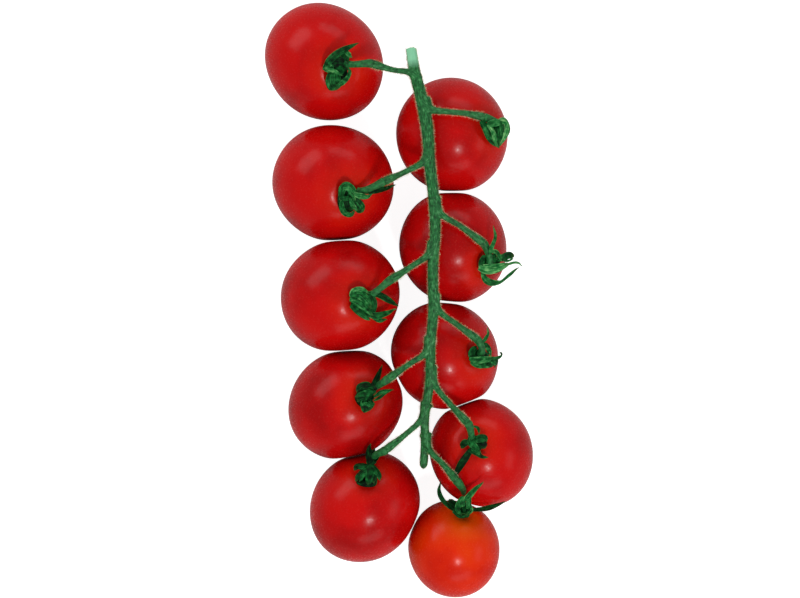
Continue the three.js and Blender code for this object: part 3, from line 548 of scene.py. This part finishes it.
def main_stem(materials):
    """The main stem and its ten stalks up to the knuckles, welded into one skin, then ribbed along
    the grain by moving each vertex a little along its normal."""
    line = smooth_line(MAIN_STEM, MAIN_STEM_STEPS)
    radii = along_values(MAIN_STEM_RADII, MAIN_STEM_STEPS)
    way = np.linspace(0, 1, MAIN_STEM_STEPS)
    dome = np.sqrt(np.clip(1 - ((way - TIP_START) / TIP_LENGTH) ** 2, 0.02, 1))
    radii = radii * np.where(way > TIP_START, dome, 1)
    across = np.array([1.0, 0, 0])
    shape = Shape()
    shape.add_rows(tube(line, radii, MAIN_STEM_COLS, across, flutes=0.035), np.zeros(3))
    lines, references = [line], [across]
    for facts in FRUITS:
        stalk = knuckle_line(facts)
        straight_part = stalk[-1] - stalk[STALK_STEPS // 3]
        reference = unit(np.cross(straight_part, [0, 0, 1.0]))
        swell = along_values(STALK_SWELL, STALK_STEPS)
        swell = rounded(swell * STALK_RADIUS, stalk, STALK_END_EDGE)
        shape.add_rows(tube(stalk, swell, STALK_COLS, reference), np.zeros(3))
        lines.append(stalk)
        references.append(reference)
    stem = shape.make("main_stem_skin", materials)
    weld(stem, WELD_GRAIN, WELD_PASSES)
    mesh = stem.data
    count = len(mesh.vertices)
    points = np.empty(count * 3, np.float32)
    mesh.vertices.foreach_get("co", points)
    points = points.reshape(-1, 3).astype(float) / MM
    normals = np.empty(count * 3, np.float32)
    mesh.vertex_normals.foreach_get("vector", normals)
    normals = normals.reshape(-1, 3)
    way, bearing, owner = nearest_on_lines(points, lines, references)
    # Seven ribs that wander along the stem and twelve finer ones that wind slowly round it. They are
    # shallower on the stalks.
    wandering = 0.05 * np.cos(7 * bearing + 0.8 * np.sin(way * 0.35))
    winding = 0.03 * np.cos(12 * bearing + way * 0.2)
    ribs = (wandering + winding) * np.where(owner == 0, 1, 0.45)
    points = points + normals * ribs[:, None]
    mesh.vertices.foreach_set("co", (points * MM).astype(np.float32).ravel())
    if "marks" in mesh.attributes:
        mesh.attributes.remove(mesh.attributes["marks"])
    # Marks: how far from the cut end (a long way, on the stalks), how far to the side, and the place
    # along the grain, shifted from one stalk to the next.
    far, shift = 99.0, 37
    cut = np.where(owner == 0, way, far)
    put_marks(mesh, np.stack([cut, np.cos(bearing), way + shift * owner], -1))
    mesh.polygons.foreach_set("use_smooth", [True] * len(mesh.polygons))
    mesh.update()
    return stem, points, normals


# ---- calyxes ----


def end_stalk_line(fruit):
    """From the knuckle, over the fruit and down into its eye."""
    stalk = knuckle_line(fruit.facts)
    along = unit(stalk[-1] - stalk[-2])
    start = stalk[-1] - along * KNUCKLE_OVERLAP
    foot = fruit.over(*fruit.facts["foot"], 0) + fruit.outward * CALYX_THICKNESS / 2
    leave = start + along * np.linalg.norm(foot - start) / 5
    arrive = foot + fruit.outward * fruit.facts["rise"]
    return bent_line(start, leave, arrive, foot, END_STALK_STEPS)


def ribbon(line, outward, width, blunt, fold, twist, wave):
    """A leaf blade: along its line, a flat oval section. Its width follows a sine to a point, mixed
    by the share blunt with a squared-off circle, or with a spear, widest at its root, if blunt is
    less than 0. Its halves fold from the midrib by the share fold, it twists by up to twist radians
    towards its tip, and its edges wave."""
    s = np.linspace(0, 1, len(line))[:, None]
    along = unit(np.gradient(line, axis=0))
    side = unit(np.cross(along, outward))
    up = np.cross(side, along)
    angle = twist * s**1.5
    side, up = side * np.cos(angle) + up * np.sin(angle), up * np.cos(angle) - side * np.sin(angle)
    turn = np.linspace(0, TAU, SEPAL_COLS, endpoint=False)[None, :]
    pointed = np.sin(math.pi * (0.16 + 0.835 * s)) ** 0.85
    round_ended = np.sqrt(np.clip(1 - np.abs(2 * s - 1) ** 3, 0.01, 1))
    spear = np.minimum(1, 6 * s + 0.6) * (1.02 - s) ** 0.8
    other = round_ended if blunt > 0 else spear
    half = width * ((1 - abs(blunt)) * pointed + abs(blunt) * other) / 2
    x = half * np.cos(turn)
    z = SEPAL_THICKNESS * (1 - 0.5 * s) * np.sin(turn) * (1 - 0.5 * np.cos(turn) ** 2) / 2
    # A raised midrib, and fine veins beside it about 0.7 mm apart.
    crease = 0.12 * np.exp(-((x / 0.22) ** 2)) + 0.05 * np.cos(9 * x)
    z = z + fold * np.abs(x) + crease + wave * (x / width) ** 2 * np.sin(11 * s + 5 * np.sign(x))
    marks = np.stack(np.broadcast_arrays(s, np.cos(turn) + 0 * s, 0 * x), -1)
    return line[:, None] + x[..., None] * side[:, None] + z[..., None] * up[:, None], marks


def calyx(fruit, number, materials):
    """The end stalk, swollen at the knuckle and at its foot, the disc in the eye, and the sepals."""
    rng = np.random.default_rng(70 + number)
    shape = Shape()
    line = end_stalk_line(fruit)
    reference = unit(np.cross(line[-1] - line[0], [0, 0, 1.0]))
    radii = rounded(along_values(END_STALK_RADII, END_STALK_STEPS), line, STALK_END_EDGE)
    far_from_cut = np.array([30.0, 0, 0])
    shape.add_rows(tube(line, radii, END_STALK_COLS, reference, flutes=0.03), far_from_cut)
    seat = fruit.over(0, 0, 0) - fruit.outward * DISC_SINK
    rise = np.linspace(0, 1, DISC_STEPS)
    disc = seat + rise[:, None] * fruit.outward * CALYX_THICKNESS * DISC_HEIGHT
    disc_radius = CALYX_RADIUS * (0.72 + 0.28 * np.sin(rise * math.pi) - 0.35 * rise**2)
    # The disc's third mark is painted shade on the sepals' scale, set on the dark side.
    disc_marks = np.array([0.1, 0, 0.2])
    shape.add_rows(tube(disc, disc_radius, DISC_COLS, reference, flutes=0.08), disc_marks, 1)
    leaf_shade = fruit.facts.get("leaf_shade", 0)
    for width, blunt, pale, fold, *path in fruit.facts["sepals"]:
        way = smooth_line([fruit.over(*p) for p in path], SEPAL_STEPS)
        outward = unit(way - fruit.centre)
        twist, wave = rng.uniform(-0.35, 0.35), rng.uniform(0.2, 0.5)
        blade, marks = ribbon(way, outward, width, blunt, fold, twist * (1 - abs(blunt)), wave)
        # Third mark: the blade's painted light and shade, dark where shade falls and pale where light
        # falls.
        shape.add_rows(blade, marks + [0, 0, pale + leaf_shade], 1)
    return shape.make(f"calyx_skin_{number}", materials)


def stem_hairs(points, normals, material):
    """Fine hairs: each is a thin three-sided spike on the skin, leaning a little at random. They
    stand on the flanks and the underside, and the crown is worn bare."""
    rng = np.random.default_rng(5)
    pick = rng.choice(np.flatnonzero(normals[:, 2] < HAIR_LIMIT), HAIR_COUNT)
    lean = unit(normals[pick] + rng.normal(0, HAIR_LEAN, (HAIR_COUNT, 3)))
    root = points[pick] - HAIR_ROOT * lean + rng.normal(0, HAIR_ROOT, (HAIR_COUNT, 3))
    aside = unit(np.cross(lean, [0.3, 0.5, 0.8]))
    other = np.cross(lean, aside)
    size = rng.uniform(0.35, 1, (HAIR_COUNT, 1)) * HAIR_LENGTH
    corners = [
        root + HAIR_RADIUS * (math.cos(a) * aside + math.sin(a) * other)
        for a in (0, TAU / 3, 2 * TAU / 3)
    ]
    tip = root + size * lean
    verts = np.stack([*corners, tip], 1).reshape(-1, 3)
    base = 4 * np.arange(HAIR_COUNT)[:, None]
    sides = ([0, 1, 3], [1, 2, 3], [2, 0, 3], [2, 1, 0])
    faces = np.stack([base + side for side in sides], 1).reshape(-1, 3)
    mesh = bpy.data.meshes.new("stem_down")
    mesh.from_pydata(verts * MM, [], faces.tolist())
    mesh.materials.append(material)
    obj = bpy.data.objects.new("stem_down", mesh)
    bpy.context.collection.objects.link(obj)
    return obj


# ---- materials ----


def colour(code):
    """An sRGB hex colour turned linear, with alpha."""
    rgb = np.array([int(code[i : i + 2], 16) for i in (0, 2, 4)]) / 255
    return (*np.where(rgb <= 0.04045, rgb / 12.92, ((rgb + 0.055) / 1.055) ** 2.4).tolist(), 1.0)


def add(material, kind, inputs=None, stops=(), **settings):
    """Adds a node and returns it. settings are its properties, inputs are constants or outputs to
    link, and stops are the places and hex colours of a colour band."""
    tree = material.node_tree
    node = tree.nodes.new(kind)
    for key, value in settings.items():
        setattr(node, key, value)
    for key, value in (inputs or {}).items():
        if isinstance(value, bpy.types.NodeSocket):
            tree.links.new(value, node.inputs[key])
        else:
            node.inputs[key].default_value = value
    for _ in stops[2:]:
        node.color_ramp.elements.new(0.5)
    for n, (place, code) in enumerate(stops):
        node.color_ramp.elements[n].position = place
        node.color_ramp.elements[n].color = colour(code)
    return node


def finish_surface(material, **inputs):
    """Sets or links the inputs of the material's own shader."""
    shader = material.node_tree.nodes["Principled BSDF"]
    for key, value in inputs.items():
        socket = shader.inputs[key.replace("_", " ")]
        if isinstance(value, bpy.types.NodeSocket):
            material.node_tree.links.new(value, socket)
        else:
            socket.default_value = value
    return material


def new_material(name):
    """A material with its own Principled BSDF shader."""
    material = bpy.data.materials.new(name)
    material.use_nodes = True
    return material


def tomato_skin(name, deep, full, bright, eye_tint):
    """Tomato skin: a thin waxy film over wet flesh. To the eye it is a deep even red with a soft,
    slightly grainy gloss, a little lighter in patches and warmer round the stalk."""
    m = new_material(name)
    place = add(m, "ShaderNodeTexCoord").outputs["Object"]
    marks = add(m, "ShaderNodeAttribute", attribute_name="marks").outputs["Vector"]
    split = add(m, "ShaderNodeSeparateXYZ", {"Vector": marks})
    # Patches about 12 mm across, where the flesh has ripened a little further.
    patches = add(m, "ShaderNodeTexNoise", {"Vector": place, "Scale": 85.0, "Detail": 3.0}).outputs["Fac"]
    riper = add(m, "ShaderNodeMath", {0: patches, 1: split.outputs["Y"]}, operation="ADD").outputs[0]
    base = add(
        m, "ShaderNodeValToRGB", {"Fac": riper}, [(0.25, deep), (0.5, full), (0.8, bright)]
    ).outputs["Color"]
    near = add(
        m, "ShaderNodeMapRange",
        {"Value": split.outputs["X"], "From Min": 0.15, "From Max": 0.7, "To Min": 0.8, "To Max": 0.0},
    ).outputs["Result"]
    warm = add(m, "ShaderNodeMath", {0: near, 1: patches}, operation="MULTIPLY").outputs[0]
    base = add(m, "ShaderNodeMix", {0: warm, 6: base, 7: colour(eye_tint)}, data_type="RGBA").outputs[2]
    # Pale pores. Real ones are 0.3 mm apart: these are 1.1 mm apart, so that they show.
    pores = add(m, "ShaderNodeTexVoronoi", {"Vector": place, "Scale": 900.0}).outputs["Distance"]
    dots = add(
        m, "ShaderNodeMapRange",
        {"Value": pores, "From Min": 0.08, "From Max": 0.24, "To Min": 0.1, "To Max": 0.0},
    ).outputs["Result"]
    base = add(m, "ShaderNodeMix", {0: dots, 6: base, 7: colour("e0604a")}, data_type="RGBA").outputs[2]
    # Wax grain 0.6 mm across, and slow swells 6 mm across that soften the edges of a glint.
    grain = add(m, "ShaderNodeTexNoise", {"Vector": place, "Scale": 1700.0, "Detail": 2.0}).outputs["Fac"]
    swell = add(m, "ShaderNodeTexNoise", {"Vector": place, "Scale": 170.0, "Detail": 1.0}).outputs["Fac"]
    broad = add(m, "ShaderNodeBump", {"Height": swell, "Strength": 0.3, "Distance": 0.00008})
    fine = add(
        m, "ShaderNodeBump",
        {"Height": grain, "Normal": broad.outputs[0], "Strength": 0.5, "Distance": 0.00003},
    )
    rough = add(
        m, "ShaderNodeMapRange",
        {"Value": grain, "From Min": 0.3, "From Max": 0.7, "To Min": 0.17, "To Max": 0.31},
    ).outputs["Result"]
    return finish_surface(
        m, Base_Color=base, Normal=fine.outputs[0], Roughness=rough, IOR=1.36,
        Specular_IOR_Level=0.22, Subsurface_Weight=0.1, Subsurface_Radius=(1.0, 0.1, 0.06),
        Subsurface_Scale=0.0015,
    )


def stem_green():
    """Fresh tomato stem: a dull green rind. To the eye it is streaky and flecked along its length,
    and pale mint near the cut."""
    m = new_material("fresh tomato stem")
    place = add(m, "ShaderNodeTexCoord").outputs["Object"]
    marks = add(m, "ShaderNodeAttribute", attribute_name="marks").outputs["Vector"]
    split = add(m, "ShaderNodeSeparateXYZ", {"Vector": marks})
    # Grain in streaks, from the bearing round the stem and a slow change along it.
    stretch = add(m, "ShaderNodeMapping", {"Vector": marks, "Scale": (0.0, 3.0, 0.2)}).outputs[0]
    streaks = add(m, "ShaderNodeTexNoise", {"Vector": stretch, "Scale": 3.0, "Detail": 4.0}).outputs["Fac"]
    # Flecks about 0.9 mm across.
    flecks = add(m, "ShaderNodeTexNoise", {"Vector": place, "Scale": 1100.0, "Detail": 3.0}).outputs["Fac"]
    both = add(m, "ShaderNodeMix", {0: 0.35, 2: streaks, 3: flecks}, data_type="FLOAT").outputs[0]
    base = add(
        m, "ShaderNodeValToRGB", {"Fac": both},
        [(0.36, "02280e"), (0.47, "0e5424"), (0.56, "247c3c"), (0.68, "74b47c")],
    ).outputs["Color"]
    cut = add(
        m, "ShaderNodeMapRange",
        {"Value": split.outputs["X"], "From Min": 3.5, "From Max": 6.0, "To Min": 0.9, "To Max": 0.0},
    ).outputs["Result"]
    base = add(m, "ShaderNodeMix", {0: cut, 6: base, 7: colour("8ed8ac")}, data_type="RGBA").outputs[2]
    bump = add(m, "ShaderNodeBump", {"Height": both, "Strength": 0.6, "Distance": 0.00012})
    return finish_surface(
        m, Base_Color=base, Normal=bump.outputs[0], Roughness=0.55, Specular_IOR_Level=0.3,
    )


def sepal_green():
    """Tomato sepals: thin leafy green, paler at the edges and drier at the tip. Painted light and shade
    make a blade dark where shade falls in the calyx's hollow and pale where light falls on it.
    """
    m = new_material("tomato sepal leaf")
    place = add(m, "ShaderNodeTexCoord").outputs["Object"]
    marks = add(m, "ShaderNodeAttribute", attribute_name="marks").outputs["Vector"]
    split = add(m, "ShaderNodeSeparateXYZ", {"Vector": marks})
    edge = add(m, "ShaderNodeMath", {0: split.outputs["Y"]}, operation="ABSOLUTE").outputs[0]
    rim = add(m, "ShaderNodeMath", {0: edge, 1: 6.0}, operation="POWER").outputs[0]
    # Fibres along the blade, 0.1 to 0.3 mm apart, over blotches of about 1 mm.
    fibres = add(m, "ShaderNodeMapping", {"Vector": marks, "Scale": (1.2, 5.0, 9.0)}).outputs[0]
    veins = add(m, "ShaderNodeTexNoise", {"Vector": fibres, "Scale": 2.0, "Detail": 3.0}).outputs["Fac"]
    mottle = add(m, "ShaderNodeTexNoise", {"Vector": place, "Scale": 900.0, "Detail": 4.0}).outputs["Fac"]
    both = add(m, "ShaderNodeMix", {0: 0.4, 2: veins, 3: mottle}, data_type="FLOAT").outputs[0]
    grain = add(
        m, "ShaderNodeMapRange",
        {"Value": both, "From Min": 0.35, "From Max": 0.65, "To Min": 0.24, "To Max": 0.76},
    ).outputs["Result"]
    # The third mark adds painted light and shade: dark for blades in the calyx's shaded hollow, pale for
    # lit ones.
    lift = add(m, "ShaderNodeMath", {0: split.outputs["Z"], 1: 0.34, 2: grain}, operation="MULTIPLY_ADD")
    spread = add(m, "ShaderNodeMath", {0: rim, 1: 0.1, 2: lift.outputs[0]}, operation="MULTIPLY_ADD")
    base = add(
        m, "ShaderNodeValToRGB", {"Fac": spread.outputs[0]},
        [(0.34, "000a03"), (0.5, "002a0c"), (0.66, "0b5622"), (0.82, "2c8a44"), (1.0, "84c478")],
    ).outputs["Color"]
    tip = add(
        m, "ShaderNodeMapRange",
        {"Value": split.outputs["X"], "From Min": 0.8, "From Max": 1.0, "To Min": 0.0, "To Max": 0.5},
    ).outputs["Result"]
    base = add(m, "ShaderNodeMix", {0: tip, 6: base, 7: colour("4f7038")}, data_type="RGBA").outputs[2]
    bump = add(m, "ShaderNodeBump", {"Height": grain, "Strength": 0.7, "Distance": 0.00015})
    return finish_surface(
        m, Base_Color=base, Normal=bump.outputs[0], Roughness=0.5, Specular_IOR_Level=0.08,
    )


def hair_green():
    """The down on a tomato stem: fine translucent hairs, which catch the light as a pale fringe."""
    m = new_material("tomato stem down")
    place = add(m, "ShaderNodeTexCoord").outputs["Object"]
    shade = add(m, "ShaderNodeTexNoise", {"Vector": place, "Scale": 400.0}).outputs["Fac"]
    base = add(
        m, "ShaderNodeValToRGB", {"Fac": shade}, [(0.3, "8fa860"), (0.5, "d0cc98"), (0.7, "fff0d0")]
    ).outputs["Color"]
    return finish_surface(m, Base_Color=base, Roughness=0.5)


# ---- make the pieces ----

red_skin = tomato_skin("ripe red tomato skin", "a80608", "c6090a", "d20e08", "e02c06")
orange_skin = tomato_skin("turning orange tomato skin", "c81004", "e02a04", "e64004", "e06804")
stem_skin = stem_green()
sepal_skin = sepal_green()
hair = hair_green()


def place_piece(obj, slot, *nodes):
    """Puts a piece on the root body and hides the imported parts of the nodes it stands for.
    slot, where its finish comes from, is not used.
    """
    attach(obj, "root")
    if nodes:
        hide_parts(*nodes)


for row in FRUITS:
    row["centre"] = (row["centre"][0] + TO_FRAME[0], row["centre"][1] + TO_FRAME[1])
    row["lift"] = row["lift"] + TO_FRAME[2]
    row["stalk"] = [np.array(p) + TO_FRAME for p in row["stalk"]]
MAIN_STEM = [np.array(p) + TO_FRAME for p in MAIN_STEM]

fruits = [Fruit(row) for row in FRUITS]
skins = [skin_grid(fruit, n) for n, fruit in enumerate(fruits)]
grids = [grid for grid, _ in skins]
press(grids, fruits)
for n, (grid, (_, marks)) in enumerate(zip(grids, skins), start=1):
    shape = Shape()
    shape.add_rows(grid, marks)
    last = n == len(fruits)
    obj = shape.make(f"tomato_skin_{n}", [orange_skin if last else red_skin])
    place_piece(obj, "orange_skin" if last else "red_skin", f"tomato_{n}")

stem, stem_points, stem_normals = main_stem([stem_skin])
place_piece(stem, "green_stem", "main_stem")
place_piece(stem_hairs(stem_points, stem_normals, hair), "green_stem")

for n, fruit in enumerate(fruits, start=1):
    obj = calyx(fruit, n, [stem_skin, sepal_skin])
    place_piece(obj, "green_calyx", f"calyx_{n}")


# ---- table, light and camera ----


def table():
    """A plain white table. What the camera sees of it is lit up to white, and the truss sees it
    as it is."""
    half = 3.0
    under_fruit = -0.1 * MM
    mesh = bpy.data.meshes.new("table_top")
    corners = [(-half, -half), (half, -half), (half, half), (-half, half)]
    mesh.from_pydata([(x, y, under_fruit) for x, y in corners], [], [(0, 1, 2, 3)])
    m = new_material("white table")
    seen = add(m, "ShaderNodeLightPath").outputs["Is Camera Ray"]
    glow = add(m, "ShaderNodeMath", {0: seen, 1: 0.9}, operation="MULTIPLY").outputs[0]
    finish_surface(
        m, Base_Color=colour("c8c8c8"), Roughness=0.9, Specular_IOR_Level=0.0,
        Emission_Color=(1, 1, 1, 1), Emission_Strength=glow,
    )
    mesh.materials.append(m)
    obj = bpy.data.objects.new("table_top", mesh)
    bpy.context.collection.objects.link(obj)


def softbox(name, azimuth, elevation, distance, size, radiance):
    """A rectangular soft light that looks at the middle of the truss. Azimuth 0 is along +X."""
    a, e = math.radians(azimuth), math.radians(elevation)
    way = Vector((math.cos(a) * math.cos(e), math.sin(a) * math.cos(e), math.sin(e)))
    lamp = bpy.data.lights.new(name, "AREA")
    lamp.shape = "RECTANGLE"
    lamp.size, lamp.size_y = size
    lamp.energy = radiance * math.pi * size[0] * size[1]
    obj = bpy.data.objects.new(name, lamp)
    obj.location = way * distance
    obj.rotation_euler = way.to_track_quat("Z", "Y").to_euler()
    bpy.context.collection.objects.link(obj)


def camera():
    """Straight above, with a long lens that takes in a given width at the middle of the fruits.
    +Y is up in the picture."""
    height, fruit_middle, width_seen = 0.9, 0.016, 0.224
    lens = bpy.data.cameras.new("overhead")
    lens.sensor_width = 36
    lens.lens = lens.sensor_width * (height - fruit_middle) / width_seen
    lens.clip_end = 10
    obj = bpy.data.objects.new("overhead", lens)
    obj.location = (0.0002, 0.0006, height)
    bpy.context.collection.objects.link(obj)
    bpy.context.scene.camera = obj


table()
softbox("high softbox", -68, 60, 1.2, (0.15, 0.15), 70.0)
softbox("left window", 135, 27, 1.2, (0.9, 0.5), 3.2)
softbox("far window", 75, 22, 1.2, (0.8, 0.4), 2.2)
softbox("near window", -75, 22, 1.2, (0.8, 0.4), 2.2)
softbox("right window", -10, 25, 1.2, (0.6, 0.4), 1.6)
camera()

world = bpy.data.worlds.new("studio")
world.use_nodes = True
world.node_tree.nodes["Background"].inputs["Color"].default_value = (1, 1, 1, 1)
world.node_tree.nodes["Background"].inputs["Strength"].default_value = 0.4
bpy.context.scene.world = world
bpy.context.scene.view_settings.view_transform = "Standard"
